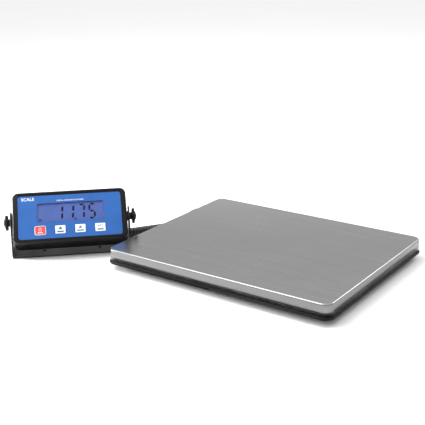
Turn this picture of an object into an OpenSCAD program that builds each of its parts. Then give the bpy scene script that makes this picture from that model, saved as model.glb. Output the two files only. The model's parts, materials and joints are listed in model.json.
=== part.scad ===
// Platform shipping scale: a low platform with a lift-off stainless pan on four load cells,
// and a remote indicator in a tilting bracket, joined by a curly signal cord.
// Millimetres, +Z up. The origin is the centre of the whole footprint, on the table.

/* [Platform] */
// Width of the weighing pan, side to side
pan_w = 350; // [310:1:420]
// Depth of the weighing pan, front to back
pan_d = 280; // [250:1:340]
// Height of the pan's top above the table
pan_top = 31; // [30:0.5:38]
// Depth of the pan's turned-down skirt
skirt_h = 16.5; // [13:0.5:17]
// Thickness of the stainless sheet
pan_t = 1.2; // [0.8:0.1:1.4]
// Corner radius of the pan, seen from above
pan_r = 13; // [12:1:20]
// Radius where the pan's top turns into its skirt
pan_edge_r = 2.5; // [2:0.5:4]
// Clearance between the pan's skirt and the tray's upstand
pan_fit = 1; // [0.5:0.1:1.5]
// Height of the tray's underside above the table
tray_lift = 8; // [7:0.5:9]
// Wall of the moulded tray
tray_wall = 2.5; // [2:0.1:3]
// Radius of the bead round the tray
bead_r = 2.5; // [2:0.1:3]
// Thickness of the steel deck plate
deck_t = 2; // [1.5:0.5:2.5]
// Inset of each foot from the pan's edges
foot_inset = 38; // [34:1:60]
// Radius of a rubber foot
foot_r = 12; // [10:0.5:14]
// Side of a corner load cell
cell_side = 34; // [32:1:38]
// Thickness of a load cell
cell_t = 3; // [2:0.5:4]

/* [Bracket] */
// Height of the tilt pivot above the table
pivot_h = 48; // [47:0.5:60]
// Thickness of the bracket's sheet
bracket_t = 2; // [1.5:0.1:2.5]
// Depth of the bracket's base, front to back
bracket_d = 44; // [36:1:56]
// Radius of the rounded top of each arm
arm_r = 15; // [12:0.5:16]
// Spacing of the two fixing holes in the base
fix_spacing = 82; // [60:1:100]
// Radius of a fixing hole
fix_r = 3; // [2:0.1:3.5]
// Turn of the indicator, anticlockwise from the platform's front
stand_turn = 43.5; // [30:0.5:50]
// Gap between the bracket's nearest corner and the platform's side
stand_gap = 14.6; // [10:0.1:60]

/* [Indicator] */
// Width of the indicator's case
head_w = 165; // [160:1:190]
// Height of the case, up its face
head_h = 79; // [78:0.5:84]
// Case in front of the pivot
head_front = 18; // [17:0.5:20]
// Case behind the pivot
head_back = 15; // [14.5:0.5:17]
// Corner radius of the case, seen from the front
head_r = 9; // [7:0.5:11]
// Wall of the case
case_wall = 2.5; // [2:0.1:3]
// How far the face leans back
head_tilt = 41; // [20:1:50]
// Width of the printed overlay
overlay_w = 149; // [140:1:150]
// Height of the printed overlay
overlay_h = 67.4; // [65:0.1:69]
// Width of the display window
window_w = 96; // [80:1:98]
// Height of the display window
window_h = 29; // [24:0.5:30]
// Width of a key
key_w = 14.6; // [12:0.1:16]
// Height of a key
key_h = 12.4; // [11:0.1:14]
// Spacing of the keys
key_pitch = 28.7; // [24:0.1:30]
// Travel of a key
key_travel = 0.5; // [0.3:0.1:0.5]

/* [Knobs] */
// Radius over the lobes of a tilt knob
knob_r = 11.4; // [10:0.1:14]
// Thickness of a knob at its domed middle
knob_t = 7.4; // [6:0.1:9]
// Thickness of a knob's lobes
lobe_t = 3.8; // [3:0.1:5]
// Length of a knob's hub
hub_l = 2.9; // [2.5:0.1:5]
// Number of lobes
lobes = 6; // [5:1:8]
// Radius of a knob's threaded stud
stud_r = 3; // [2.5:0.1:3.2]

/* [Cord] */
// Radius of the cord's own jacket
cord_r = 2.25; // [2:0.05:2.25]
// Outer radius of the curly stretch
curl_r = 7.5; // [7:0.1:7.5]

/* [Hidden] */
$fn = 64;

// Platform heights and corners
corner_x = pan_w / 2 - pan_r;
corner_y = pan_d / 2 - pan_r;
skirt_z = pan_top - skirt_h;
bead_z = skirt_z - 0.5 - bead_r;
floor_z = tray_lift + tray_wall;
pan_under = pan_top - pan_t;
pad_h = 2.8;
deck_z = pan_under - pad_h - deck_t;
upstand_x = pan_r - pan_t - pan_fit;
bead_out = corner_x + pan_r - 1 + bead_r;
deck_x = upstand_x - 0.8;
foot_x = pan_w / 2 - foot_inset;
foot_y = pan_d / 2 - foot_inset;
rubber_h = 4;
post_flange_h = 2.5;
post_r = 6;
cell_z = floor_z + 2.5;
seat_ring = 4;
rib_top = cell_z + 0.5;
lead_r = 1;
lead_z = rib_top + lead_r + 0.1;
deck_screws_at = [for (s = [-1, 1], p = [[0.86, 0], [0.34, 0.55]], t = p[1] == 0 ? [0] : [-1, 1])
    [s * p[0] * pan_w / 2, t * p[1] * pan_d / 2]];
pads_at = [for (s = [-1, 1], t = [-1, 1]) [s * (foot_x + 14), t * (foot_y + 14)]];
board_l = 44;
board_d = 30;
board_t = 1.6;
board_at = [-0.2 * pan_w, 0];
board_z = cell_z;
gland_y = 115;
gland_z = floor_z + 4;
gland_neck = 3;
gland_notch = gland_neck + 1;
gland_collar = min(gland_z - floor_z, deck_z - gland_z) - 0.1;
gland_tip = bead_out + 10;
mark_r = 1.5;

// Indicator, in the face's own frame: X right, Y up the face, Z out of the face, at the pivot
face_x = head_w / 2 - head_r;
face_y = head_h / 2 - head_r;
front_edge_r = 2.5;
back_edge_r = 4;
split_z = 6;
inner_front = head_front - case_wall;
overlay_y = -1;
overlay_t = 0.5;
overlay_sink = 0.6;
overlay_back = head_front - overlay_sink;
window_at = [0.8, overlay_y + 6.6];
lens_t = 1.1;
lens_lap = 2.3;
lcd_t = 2.8;
lcd_lap = 4;
lcd_front = inner_front - 0.1;
main_z = split_z + 0.3;
main_front = main_z + board_t;
keys_y = overlay_y - 20.9;
keys_x = -43.4;
key_gap = 0.3;
key_proud = 0.2;
key_t = 0.9;
key_pocket = key_travel + 0.6;
stem_r = 2.5;
tip_r = 1.7;
switch_h = 3.5;
switch_side = 6;
case_screw_x = head_w / 2 - 10.5;
case_screw_y = head_h / 2 - 10.5;
main_screw_x = 61;
main_screw_y = 27;
insert_r = 4.5;
insert_l = 8;
pivot_boss_r = 6;
pivot_gap = 2;
arm_inner = head_w / 2 + pivot_gap;
arm_outer = arm_inner + bracket_t;
door_t = 2;
door_gap = 0.3;
cell_count = 6;
battery_r = 7.25;
battery_l = 50.5;
battery_pitch = 15;
nub_l = 1.7;
nub_r = 2.7;
spring_l = 5;
contact_t = 0.5;
bay_w = cell_count * battery_pitch + 2;
bay_y0 = -25;
bay_l = battery_l + spring_l + 2 * contact_t + 1.2;
bay_wall = 1.5;
bay_floor = -head_back + door_t + 2 * battery_r + 0.8;
door_y0 = bay_y0 - 2.7;
door_w = bay_w + 2;
outlet_at = [-62, -8];
outlet_neck = 3;
outlet_l = 14;
inlet_at = [62, 18];
inlet_r = 4.1;
plug_r = 2.9;
plug_l = 9;

// Where the platform's centre stands, and the tilt pivot from that centre
home = [86.5, 25.5];
stand_reach = arm_outer * cos(stand_turn) + bracket_d / 2 * sin(stand_turn);
stand_at = [-(bead_out + stand_gap + stand_reach), -111.5];

// Route of the cord, by hand, from the platform's centre, with heights above the table
outlet_reach = outlet_at[1] * sin(head_tilt) + (head_back + outlet_l) * cos(head_tilt);
outlet_tip = [stand_at[0] + outlet_at[0] * cos(stand_turn) - outlet_reach * sin(stand_turn),
    stand_at[1] + outlet_at[0] * sin(stand_turn) + outlet_reach * cos(stand_turn),
    pivot_h + outlet_at[1] * cos(head_tilt) - (head_back + outlet_l) * sin(head_tilt)];
tail_route = [outlet_tip, [-330, -138, 17.5], [-332.5, -132, 12.5], [-333, -124, 8],
    [-331, -114.5, 4.8], [-325.5, -106, 2.9], [-320, -99, 2.3], [-314, -93.3, 2.3]];
curl_route = [[-314, -93.3, 7.6], [-294, -76, 7.6], [-274, -59, 7.6], [-254, -42, 7.6], [-242, -32, 7.6],
    [-232, -22, 7.6], [-226, -13, 7.6], [-220, -4, 7.6], [-212, 8, 7.6], [-204, 20, 7.6], [-198, 33, 7.6],
    [-195, 46, 7.6], [-194, 60, 7.6]];
lead_route = [[-194, 60, 2.3], [-195.5, 67, 2.3], [-199, 74, 2.3], [-204, 82, 2.6], [-208.5, 90, 3.8],
    [-211, 98, 6], [-209.5, 106, 9], [-204, 112, 12], [-197, 114.8, 13.9], [-191.5, 115, 14.5],
    [-gland_tip, gland_y, gland_z]];

// ---- Shared shapes ----

// A profile with X outward from the corner axes and Y up, swept round a rounded rectangle
module sweep_rect(cx, cy) {
    for (turn = [0, 180]) rotate([0, 0, turn]) {
        translate([cx, cy, 0]) rotate_extrude(angle = 90) children();
        translate([-cx, cy, 0]) rotate([0, 0, 90]) rotate_extrude(angle = 90) children();
        translate([cx, cy, 0]) rotate([90, 0, 0]) linear_extrude(2 * cy) children();
        translate([-cx, cy, 0]) rotate([90, 0, 90]) linear_extrude(2 * cx) children();
    }
}

// Half section of a block whose top edge is rounded
module edge_profile(r, h, edge_r) {
    square([r - edge_r, h]);
    square([r, h - edge_r]);
    translate([r - edge_r, h - edge_r]) circle(edge_r);
}

// A rounded-rectangle block standing on Z = 0, with its top edge rounded
module round_block(cx, cy, r, h, edge_r) {
    sweep_rect(cx, cy) edge_profile(r, h, edge_r);
    translate([-cx, -cy, 0]) cube([2 * cx, 2 * cy, h]);
}

// A cup that opens downward: the block less the same block one wall smaller
module round_cup(cx, cy, r, h, wall, edge_r) {
    difference() {
        round_block(cx, cy, r, h, edge_r);
        translate([0, 0, -1]) round_block(cx, cy, r - wall, h - wall + 1, edge_r - wall / 2 - 0.3);
    }
}

// A flat plate with rounded corners, centred, standing on Z = 0
module round_plate(w, d, r, h) {
    linear_extrude(h) union() {
        square([w - 2 * r, d], center = true);
        square([w, d - 2 * r], center = true);
        for (sx = [-1, 1], sy = [-1, 1]) translate([sx * (w / 2 - r), sy * (d / 2 - r)]) circle(r);
    }
}

// A pan-head screw with its head's underside at Z = 0 and its shank downward
module screw(head_r, head_h, shank_r, shank_l) {
    cylinder(r = head_r, h = head_h);
    translate([0, 0, -shank_l]) cylinder(r = shank_r, h = shank_l);
}

module on_platform() translate([home[0], home[1], 0]) children();

module at_stand() on_platform() translate([stand_at[0], stand_at[1], 0]) rotate([0, 0, stand_turn]) children();

module at_head() translate([0, 0, pivot_h]) at_stand() rotate([90 - head_tilt, 0, 0]) children();

// Corner positions of the feet and load cells
module at_corner(sx, sy) translate([sx * foot_x, sy * foot_y, 0]) children();

// ---- Cord tube ----

function unit(v) = v / norm(v);
function heading(path, i) = unit(path[min(i + 1, len(path) - 1)] - path[max(i - 1, 0)]);
function ring(centre, dir, r, sides) =
    let (side = unit(cross(dir, [0, 0, 1])), lift = cross(side, dir))
    [for (k = [0 : sides - 1]) centre + r * (cos(360 * k / sides) * side + sin(360 * k / sides) * lift)];

// A closed tube through the route's points; its first and last rings face along given headings
module tube(path, r, sides, first, last) {
    n = len(path);
    points = [for (i = [0 : n - 1])
        each ring(path[i], i == 0 ? first : i == n - 1 ? last : heading(path, i), r, sides)];
    walls = [for (i = [0 : n - 2], k = [0 : sides - 1])
        let (a = i * sides + k, b = i * sides + (k + 1) % sides)
        each [[a, b, b + sides], [a, b + sides, a + sides]]];
    start_cap = [[for (k = [sides - 1 : -1 : 0]) k]];
    end_cap = [[for (k = [0 : sides - 1]) (n - 1) * sides + k]];
    polyhedron(points, concat(walls, start_cap, end_cap));
}

// ---- Platform ----

// Drawn stainless pan that lifts off, its skirt notched over the cord's gland
module pan() {
    color("silver") on_platform() difference() {
        translate([0, 0, skirt_z]) round_cup(corner_x, corner_y, pan_r, skirt_h, pan_t, pan_edge_r);
        translate([-pan_w / 2 - 1, gland_y, gland_z]) rotate([0, 90, 0]) cylinder(r = gland_notch, h = pan_t + 2);
        translate([-pan_w / 2 - 1, gland_y - gland_notch, 0]) cube([pan_t + 2, 2 * gland_notch, gland_z]);
    }
}

// Rubber buttons on the deck that the pan rests on
module pan_pads() {
    color("dimgray") on_platform() for (p = pads_at)
        translate([p[0], p[1], deck_z + deck_t]) cylinder(r = 7, h = pad_h);
}

// Steel plate that carries the pan, with a square seat welded over each load cell
module deck_plate() {
    color("gray") on_platform() difference() {
        union() {
            translate([0, 0, deck_z])
                round_plate(2 * (corner_x + deck_x), 2 * (corner_y + deck_x), deck_x, deck_t);
            for (sx = [-1, 1], sy = [-1, 1]) at_corner(sx, sy) translate([0, 0, cell_z + cell_t])
                linear_extrude(deck_z - cell_z - cell_t) difference() {
                    square(cell_side, center = true);
                    square(cell_side - 2 * seat_ring, center = true);
                }
        }
        for (p = deck_screws_at) translate([p[0], p[1], deck_z - 1]) cylinder(r = 1.8, h = deck_t + 2);
    }
}

// Screws that draw the tray up to the deck
module deck_screws() {
    color("silver") on_platform() for (p = deck_screws_at)
        translate([p[0], p[1], deck_z + deck_t]) screw(3.2, 1.8, 1.4, 12);
}

// Section of the tray's wall: rounded foot, bead, and the upstand inside the pan's skirt
module tray_profile() {
    wall_x = upstand_x + 1;
    foot = (1 + tray_wall) / 2;
    translate([upstand_x - tray_wall, tray_lift]) square([tray_wall, deck_z - tray_lift]);
    translate([upstand_x - tray_wall, tray_lift + foot])
        square([wall_x - upstand_x + tray_wall, bead_z - tray_lift - foot]);
    translate([wall_x - foot, tray_lift + foot]) circle(foot);
    translate([pan_r - 1, bead_z]) circle(bead_r);
    translate([0, tray_lift]) square([wall_x - foot, tray_wall]);
}

// Moulded base tray with ribs, screw posts and board posts, and a small mark in the middle of its front
module base_tray() {
    rib_t = 2;
    color([0.1, 0.1, 0.11]) on_platform() difference() {
        union() {
            sweep_rect(corner_x, corner_y) tray_profile();
            translate([-corner_x, -corner_y, tray_lift]) cube([2 * corner_x, 2 * corner_y, tray_wall]);
            for (p = deck_screws_at) translate([p[0], p[1], tray_lift + 1])
                cylinder(r = 4, h = deck_z - tray_lift - 1);
            for (sy = [-1, 1]) translate([-foot_x + cell_side, sy * 45 - rib_t / 2, floor_z - 0.5])
                cube([2 * (foot_x - cell_side), rib_t, rib_top - floor_z + 0.5]);
            for (sx = [-1, 1]) translate([sx * 30 - rib_t / 2, -foot_y, floor_z - 0.5])
                cube([rib_t, 2 * foot_y, rib_top - floor_z + 0.5]);
            for (sx = [-1, 1], sy = [-1, 1])
                translate([board_at[0] + sx * (board_l / 2 - 5), board_at[1] + sy * (board_d / 2 - 5), tray_lift + 1])
                    cylinder(r = 3, h = board_z - tray_lift - 1);
        }
        for (p = deck_screws_at) translate([p[0], p[1], floor_z + 2]) cylinder(r = 1.45, h = 40);
        for (sx = [-1, 1], sy = [-1, 1]) at_corner(sx, sy) translate([0, 0, tray_lift - 1])
            cylinder(r = post_r + 1.5, h = tray_wall + 2);
        for (sx = [-1, 1])
            translate([board_at[0] + sx * (board_l / 2 - 5), board_at[1] + board_d / 2 - 5, floor_z - 1])
                cylinder(r = 1, h = 20);
        translate([-pan_w / 2 - 10, gland_y, gland_z]) rotate([0, 90, 0]) cylinder(r = gland_neck + 0.1, h = 30);
        translate([0, -(corner_y + pan_r - 1 + bead_r) - 1, bead_z]) rotate([-90, 0, 0]) cylinder(r = mark_r, h = 2.5);
    }
}

// One steel corner load cell: a frame with a tongue, the gauge on top of the tongue's root
module load_cell(sx, sy) {
    tongue = cell_side / 2;
    color("lightgray") on_platform() at_corner(sx, sy) translate([0, 0, cell_z]) {
        linear_extrude(cell_t) difference() {
            square(cell_side, center = true);
            for (side = [-1, 1]) translate([side * (tongue / 2 + 1) - 1, -tongue / 2 - 2])
                square([2, tongue + 2]);
            translate([-tongue / 2 - 2, -tongue / 2 - 4]) square([tongue + 4, 2]);
        }
        translate([-5, tongue / 2 - 3, cell_t]) cube([10, 4, 1]);
    }
}

module load_cell_front_left() load_cell(-1, -1);
module load_cell_front_right() load_cell(1, -1);
module load_cell_back_left() load_cell(-1, 1);
module load_cell_back_right() load_cell(1, 1);

// Moulded posts that pass through the tray from each foot to its load cell
module foot_posts() {
    color([0.2, 0.2, 0.2]) on_platform() for (sx = [-1, 1], sy = [-1, 1]) at_corner(sx, sy) {
        translate([0, 0, rubber_h]) cylinder(r = foot_r - 1, h = post_flange_h);
        translate([0, 0, rubber_h + 1]) cylinder(r = post_r, h = cell_z - rubber_h - 1);
    }
}

// One rubber foot, a little wider at its top
module foot(sx, sy) {
    color([0.12, 0.12, 0.12]) on_platform() at_corner(sx, sy)
        cylinder(r1 = foot_r - 0.8, r2 = foot_r, h = rubber_h);
}

module foot_front_left() foot(-1, -1);
module foot_front_right() foot(1, -1);
module foot_back_left() foot(-1, 1);
module foot_back_right() foot(1, 1);

// Junction board that sums the four cells, with its two connector blocks
module junction_board() {
    color("darkgreen") on_platform() translate([board_at[0], board_at[1], board_z]) {
        difference() {
            translate([-board_l / 2, -board_d / 2, 0]) cube([board_l, board_d, board_t]);
            for (sx = [-1, 1]) translate([sx * (board_l / 2 - 5), board_d / 2 - 5, -1]) cylinder(r = 1.2, h = 4);
        }
        for (sy = [-1, 1]) translate([-8, sy * (board_d / 2 - 2.5) - 2.5, board_t - 0.1]) cube([16, 5, 4]);
    }
}

// Screws that hold the junction board
module junction_screws() {
    color("silver") on_platform() for (sx = [-1, 1])
        translate([board_at[0] + sx * (board_l / 2 - 5), board_at[1] + board_d / 2 - 5, board_z + board_t])
            screw(2, 1.2, 0.95, 5);
}

// A thin lead laid along corners at one height
module flat_lead(path) {
    for (i = [0 : len(path) - 2]) {
        a = path[i];
        b = path[i + 1];
        span = norm(b - a);
        turn = atan2(b[1] - a[1], b[0] - a[0]);
        translate([a[0], a[1], lead_z]) rotate([0, 0, turn]) rotate([0, 90, 0]) cylinder(r = lead_r, h = span);
        if (i > 0) translate([a[0], a[1], lead_z]) sphere(lead_r);
    }
}

// Leads from the four load cells to the junction board
module cell_leads() {
    edge_x = foot_x - cell_side / 2;
    color("firebrick") on_platform() for (sx = [-1, 1], sy = [-1, 1]) {
        drop_x = board_at[0] + sx * 4;
        flat_lead([[sx * edge_x, sy * foot_y], [drop_x, sy * foot_y], [drop_x, board_at[1] + sy * board_d / 2]]);
    }
}

// The signal cord's run inside the tray, from the gland to the junction board
module inner_lead() {
    run_x = -(corner_x + pan_r) + 15;
    entry_y = board_at[1] + 9;
    color([0.15, 0.15, 0.15]) on_platform()
        flat_lead([[-(corner_x + upstand_x - tray_wall) + 2.2, gland_y], [run_x, gland_y], [run_x, entry_y],
            [board_at[0] - board_l / 2, entry_y]]);
}

// Cable gland in the tray's left wall: nose outside, neck over the bead, collar inside
module base_gland() {
    inner_x = corner_x + upstand_x - tray_wall;
    color([0.08, 0.08, 0.08]) on_platform() translate([0, gland_y, gland_z]) rotate([0, -90, 0]) {
        translate([0, 0, bead_out + 0.1]) cylinder(r1 = 4.2, r2 = 3, h = gland_tip - bead_out - 0.1);
        translate([0, 0, inner_x - 1]) cylinder(r = gland_neck, h = bead_out - inner_x + 2);
        translate([0, 0, inner_x - 2.1]) cylinder(r = gland_collar, h = 2);
    }
}

// ---- Bracket and knobs ----

// Side outline of the bracket: Y front to back, Z up
module arm_outline() {
    translate([-bracket_d / 2, 0]) square([bracket_d, 10]);
    polygon([[-bracket_d / 2, 9], [bracket_d / 2, 9], [arm_r, pivot_h - 3], [-arm_r, pivot_h - 3]]);
    translate([0, pivot_h]) circle(arm_r);
    translate([-arm_r, pivot_h - 4]) square([2 * arm_r, 4]);
}

// Bent sheet-steel bracket: a base between two upright arms
module bracket() {
    bend = 3;
    top = pivot_h + arm_r + 5;
    color([0.13, 0.13, 0.14]) at_stand() difference() {
        intersection() {
            rotate([90, 0, 0]) translate([0, 0, -bracket_d]) linear_extrude(2 * bracket_d) difference() {
                union() {
                    translate([-arm_outer, bend]) square([2 * arm_outer, top]);
                    translate([-arm_outer + bend, 0]) square([2 * (arm_outer - bend), bend + 1]);
                    for (s = [-1, 1]) translate([s * (arm_outer - bend), bend]) circle(bend);
                }
                union() {
                    translate([-arm_inner, bend]) square([2 * arm_inner, top]);
                    translate([-arm_inner + bend - bracket_t, bracket_t])
                        square([2 * (arm_inner - bend + bracket_t), bend]);
                    for (s = [-1, 1]) translate([s * (arm_outer - bend), bend]) circle(bend - bracket_t);
                }
            }
            translate([-arm_outer - 5, 0, 0]) rotate([90, 0, 90]) linear_extrude(2 * arm_outer + 10) arm_outline();
        }
        for (s = [-1, 1]) translate([s * fix_spacing / 2, 0, -1]) cylinder(r = fix_r, h = bracket_t + 2);
        translate([-arm_outer - 5, 0, pivot_h]) rotate([0, 90, 0]) cylinder(r = stud_r + 0.4, h = 2 * arm_outer + 10);
    }
}

// Fibre washers between the case and the arms
module arm_washers() {
    color("dimgray") at_stand() for (s = [-1, 1]) translate([s * (head_w / 2 + pivot_gap / 2), 0, pivot_h])
        rotate([0, 90, 0]) difference() {
            cylinder(r = 7, h = pivot_gap - 0.1, center = true);
            cylinder(r = stud_r + 0.4, h = 4, center = true);
        }
}

// One lobed knob, its axis along +X from the arm's outer face
module knob(s) {
    valley_r = knob_r * PI / lobes / 2;
    dome_r = knob_r + 0.6;
    color([0.07, 0.07, 0.07]) at_stand() translate([0, 0, pivot_h]) rotate([0, s * 90, 0])
        translate([0, 0, arm_outer + 0.1]) difference() {
            union() {
                cylinder(r = 5.4, h = hub_l + 1);
                translate([0, 0, hub_l]) intersection() {
                    cylinder(r = knob_r - 1.5 * valley_r, h = knob_t);
                    translate([0, 0, knob_t - dome_r]) sphere(dome_r);
                }
                translate([0, 0, hub_l + 0.6]) difference() {
                    cylinder(r = knob_r, h = lobe_t);
                    for (i = [0 : lobes - 1]) rotate([0, 0, 360 * (i + 0.5) / lobes])
                        translate([knob_r - valley_r / 3, 0, -1]) cylinder(r = valley_r, h = lobe_t + 2);
                }
            }
            translate([0, 0, -1]) cylinder(r = stud_r + 0.02, h = hub_l + knob_t - 2);
        }
}

module knob_left() knob(-1);
module knob_right() knob(1);

// Steel stud moulded into a knob, screwed into the case's insert
module stud(s) {
    color("lightgray") at_stand() translate([0, 0, pivot_h]) rotate([0, s * 90, 0])
        translate([0, 0, head_w / 2 - insert_l + 1])
            cylinder(r = stud_r, h = arm_outer + hub_l + knob_t - 3.2 - head_w / 2 + insert_l - 1);
}

module stud_left() stud(-1);
module stud_right() stud(1);

// ---- Indicator ----

// Front half of the case, with seats for the overlay, lens and keys
module front_case() {
    color([0.09, 0.09, 0.1]) at_head() difference() {
        union() {
            translate([0, 0, split_z])
                round_cup(face_x, face_y, head_r, head_front - split_z, case_wall, front_edge_r);
            for (sx = [-1, 1], sy = [-1, 1]) {
                translate([sx * case_screw_x, sy * case_screw_y, split_z])
                    cylinder(r = 4, h = inner_front - split_z + 0.1);
                translate([sx * main_screw_x, sy * main_screw_y, main_front])
                    cylinder(r = 3, h = inner_front - main_front + 0.1);
            }
        }
        translate([0, overlay_y, overlay_back]) round_plate(overlay_w + 0.6, overlay_h + 0.6, 4.3, 2);
        translate([window_at[0], window_at[1], overlay_back - lens_t - 0.1])
            round_plate(window_w + 2 * lens_lap + 0.4, window_h + 2 * lens_lap + 0.4, 2.7, 3);
        translate([window_at[0], window_at[1], inner_front - 1]) round_plate(window_w + 0.5, window_h + 0.5, 2.5, 5);
        for (i = [0 : 3]) translate([keys_x + i * key_pitch, keys_y, 0]) {
            translate([0, 0, overlay_back - key_pocket]) round_plate(key_w + 0.8, key_h + 0.8, 1.4, 3);
            translate([0, 0, inner_front - 1]) cylinder(r = stem_r + 0.7, h = 5);
        }
        for (sx = [-1, 1], sy = [-1, 1]) {
            translate([sx * case_screw_x, sy * case_screw_y, split_z - 1]) cylinder(r = 1.3, h = 8);
            translate([sx * main_screw_x, sy * main_screw_y, main_front - 1]) cylinder(r = 1, h = 6);
        }
    }
}

// Rear half of the case, with the battery bay, screw pillars and pivot bosses
module rear_case() {
    color([0.09, 0.09, 0.1]) at_head() difference() {
        union() {
            mirror([0, 0, 1]) translate([0, 0, -split_z])
                round_cup(face_x, face_y, head_r, head_back + split_z, case_wall, back_edge_r);
            translate([-bay_w / 2 - bay_wall, bay_y0 - bay_wall, -head_back + 1])
                cube([bay_w + 2 * bay_wall, bay_l + 2 * bay_wall, bay_floor + bay_wall + head_back - 1]);
            for (sx = [-1, 1], sy = [-1, 1]) translate([sx * case_screw_x, sy * case_screw_y, -head_back + 1])
                cylinder(r = 4.5, h = head_back + split_z - 1);
            for (s = [-1, 1]) rotate([0, s * 90, 0]) translate([0, 0, head_w / 2 - insert_l - 2])
                cylinder(r = pivot_boss_r - 0.1, h = insert_l + 1);
        }
        translate([-bay_w / 2, bay_y0, -head_back - 1]) cube([bay_w, bay_l, bay_floor + head_back + 1]);
        translate([-door_w / 2, door_y0, -head_back - 1]) cube([door_w, head_h, door_t + 1]);
        for (s = [-1, 1]) rotate([0, s * 90, 0]) translate([0, 0, head_w / 2 - insert_l - 0.1])
            cylinder(r = insert_r, h = insert_l + 5);
        for (sx = [-1, 1], sy = [-1, 1]) translate([sx * case_screw_x, sy * case_screw_y, -head_back - 1]) {
            cylinder(r = 1.6, h = head_back + split_z + 2);
            cylinder(r = 3, h = 4);
        }
        translate([outlet_at[0], outlet_at[1], -head_back - 1]) cylinder(r = outlet_neck + 0.05, h = 6);
        translate([inlet_at[0], inlet_at[1], -head_back - 1]) cylinder(r = inlet_r + 0.1, h = 6);
    }
}

// Screws that close the case from behind
module case_screws() {
    color("silver") at_head() for (sx = [-1, 1], sy = [-1, 1])
        translate([sx * case_screw_x, sy * case_screw_y, -head_back + 3]) mirror([0, 0, 1]) screw(2.7, 2, 1.2, 22);
}

// Printed polyester overlay with openings for the window and keys
module overlay() {
    color("royalblue") at_head() translate([0, 0, overlay_back]) difference() {
        translate([0, overlay_y, 0]) round_plate(overlay_w, overlay_h, 4, overlay_t);
        translate([window_at[0], window_at[1], -1]) round_plate(window_w, window_h, 2.5, 3);
        for (i = [0 : 3]) translate([keys_x + i * key_pitch, keys_y, -1])
            round_plate(key_w + 2 * key_gap, key_h + 2 * key_gap, 1.2, 3);
    }
}

// Clear lens under the overlay's window
module display_lens() {
    color("lightsteelblue", 0.5) at_head() translate([window_at[0], window_at[1], overlay_back - lens_t])
        round_plate(window_w + 2 * lens_lap, window_h + 2 * lens_lap, 2.5, lens_t);
}

// Liquid-crystal glass
module lcd_panel() {
    color("slateblue") at_head() translate([window_at[0], window_at[1], lcd_front - lcd_t])
        translate([-window_w / 2 - lcd_lap, -window_h / 2 - lcd_lap, 0])
            cube([window_w + 2 * lcd_lap, window_h + 2 * lcd_lap, lcd_t]);
}

// Backlight block that holds the glass off the board
module lcd_holder() {
    lap = lcd_lap + 2;
    color("white") at_head() translate([window_at[0], window_at[1], main_front])
        translate([-window_w / 2 - lap, -window_h / 2 - lap, 0])
            cube([window_w + 2 * lap, window_h + 2 * lap, lcd_front - lcd_t - main_front]);
}

// Main circuit board with its chips
module main_board() {
    board_w = 2 * (main_screw_x + 6);
    color("darkgreen") at_head() translate([0, 0, main_z]) {
        difference() {
            translate([-board_w / 2, -main_screw_y - 5, 0]) cube([board_w, 2 * main_screw_y + 10, board_t]);
            for (sx = [-1, 1], sy = [-1, 1]) translate([sx * main_screw_x, sy * main_screw_y, -1])
                cylinder(r = 1.3, h = 4);
        }
        for (p = [[-30, 8], [4, -6], [28, 12]]) translate([p[0] - 6, p[1] - 5, -1.5]) cube([12, 10, 1.6]);
    }
}

// Screws that hold the main board to the front case
module board_screws() {
    color("silver") at_head() for (sx = [-1, 1], sy = [-1, 1])
        translate([sx * main_screw_x, sy * main_screw_y, main_z]) mirror([0, 0, 1]) screw(2.2, 1.2, 0.95, 6);
}

// Tactile switches under the keys
module key_switches() {
    color("dimgray") at_head() for (i = [0 : 3]) translate([keys_x + i * key_pitch, keys_y, main_front])
        difference() {
            translate([-switch_side / 2, -switch_side / 2, 0]) cube([switch_side, switch_side, switch_h]);
            translate([0, 0, 1]) cylinder(r = tip_r + 0.15, h = switch_h);
        }
}

// One key: a pad flush with the overlay, and the plunger that works its switch
module key(i) {
    top = head_front + key_proud;
    switch_top = main_front + switch_h;
    at_head() translate([keys_x + i * key_pitch, keys_y, 0]) {
        translate([0, 0, top - key_t]) round_plate(key_w, key_h, 1, key_t);
        translate([0, 0, switch_top + key_travel + 0.1])
            cylinder(r = stem_r, h = top - key_t - switch_top - key_travel);
        translate([0, 0, switch_top - 1]) cylinder(r = tip_r, h = key_travel + 2);
    }
}

module key_power() color([0.85, 0.18, 0.15]) key(0);
module key_units() color("white") key(1);
module key_hold() color("white") key(2);
module key_zero() color("white") key(3);

// Brass inserts that the knobs' studs screw into
module pivot_inserts() {
    color("goldenrod") at_head() for (s = [-1, 1]) rotate([0, s * 90, 0])
        translate([0, 0, head_w / 2 - insert_l]) difference() {
            cylinder(r = insert_r - 0.02, h = insert_l - 0.1);
            translate([0, 0, -1]) cylinder(r = stud_r + 0.05, h = insert_l + 2);
        }
}

// Battery door, which slides up off the back of the case
module battery_door() {
    color([0.09, 0.09, 0.1]) at_head() intersection() {
        translate([-door_w / 2 + door_gap, door_y0 + door_gap, -head_back])
            cube([door_w - 2 * door_gap, head_h, door_t - 0.1]);
        mirror([0, 0, 1]) translate([0, 0, -split_z])
            round_block(face_x, face_y, head_r, head_back + split_z, back_edge_r);
    }
}

// A place in the battery bay; every second cell lies the other way up
module in_bay(i) {
    mid_y = bay_y0 + bay_l / 2;
    translate([(i - (cell_count - 1) / 2) * battery_pitch, mid_y, bay_floor - battery_r - 0.4])
        rotate([i % 2 == 0 ? -90 : 90, 0, 0]) translate([0, 0, -bay_l / 2]) children();
}

// Six AA cells
module batteries() {
    color("darkorange") at_head() for (i = [0 : cell_count - 1]) in_bay(i) translate([0, 0, contact_t + spring_l]) {
        cylinder(r = battery_r, h = battery_l - nub_l);
        cylinder(r = nub_r, h = battery_l);
    }
}

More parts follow.
